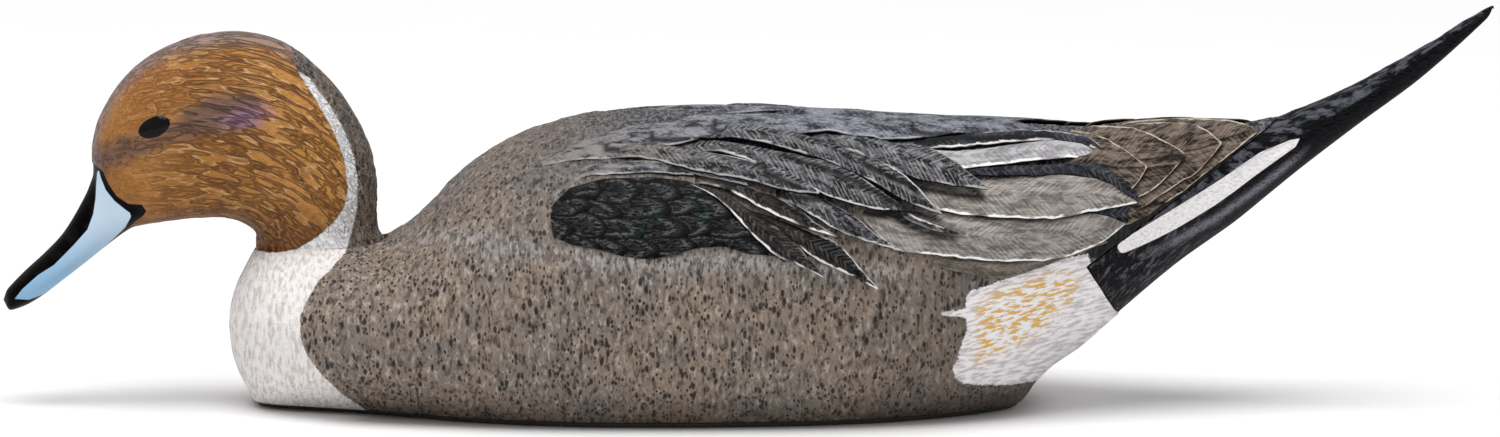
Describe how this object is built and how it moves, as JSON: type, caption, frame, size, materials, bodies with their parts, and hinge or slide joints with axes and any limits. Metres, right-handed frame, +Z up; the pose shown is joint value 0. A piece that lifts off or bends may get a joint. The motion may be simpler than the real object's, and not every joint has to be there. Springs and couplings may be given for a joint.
{
  "type": "floating duck decoy",
  "caption": "Drake pintail duck decoy with a swivelling head, long raised tail, hollow foam-filled body, flat ballasted bottom and a swinging ring for an anchor line.",
  "frame": {"origin": "on the flat bottom, half way between the bill tip and the tail tip, in the plane of symmetry", "axes": "+Z up, -X the way the bill points, +Y to the duck's right"},
  "size_m": [0.508, 0.168, 0.1365],
  "materials": {
    "body_plastic": "matte",
    "head_plastic": "matte",
    "pan_plastic": "matte",
    "tail_rubber": "satin",
    "foam": "matte",
    "iron": "matte",
    "steel": "satin",
    "brass": "satin",
    "nylon": "satin",
    "rubber": "matte",
    "eye_glass": "gloss"
  },
  "bodies": {
    "body": {"body_shell": "body_plastic", "hull_pan": "pan_plastic", "foam_core": "foam", "tail_sprig": "tail_rubber", "tail_socket": "nylon", "tail_clip": "steel", "neck_bush": "nylon", "ballast_bar": "iron", "ballast_cover": "pan_plastic", "ballast_screw_1": "steel", "ballast_screw_2": "steel", "ballast_screw_3": "steel", "ballast_screw_4": "steel", "line_tie_bracket": "brass", "line_tie_screw_1": "steel", "line_tie_screw_2": "steel", "vent_plug": "rubber"},
    "head": {"head_shell": "head_plastic", "left_eye": "eye_glass", "right_eye": "eye_glass", "neck_plug": "nylon", "neck_spring_washer": "steel", "neck_washer": "steel", "neck_bolt": "steel", "neck_nut": "steel"},
    "ring": {"line_tie_ring": "brass"}
  },
  "joints": [
    {"name": "head_swivel", "type": "hinge", "parent": "body", "child": "head", "pos_m": [-0.1458, 0, 0.0555], "axis": [0, 0, 1], "range_deg": [-90, 90]},
    {"name": "line_ring_swing", "type": "hinge", "parent": "body", "child": "ring", "pos_m": [-0.106, 0, 0.0066], "axis": [0, 1, 0], "range_deg": [-99, 16]}
  ]
}
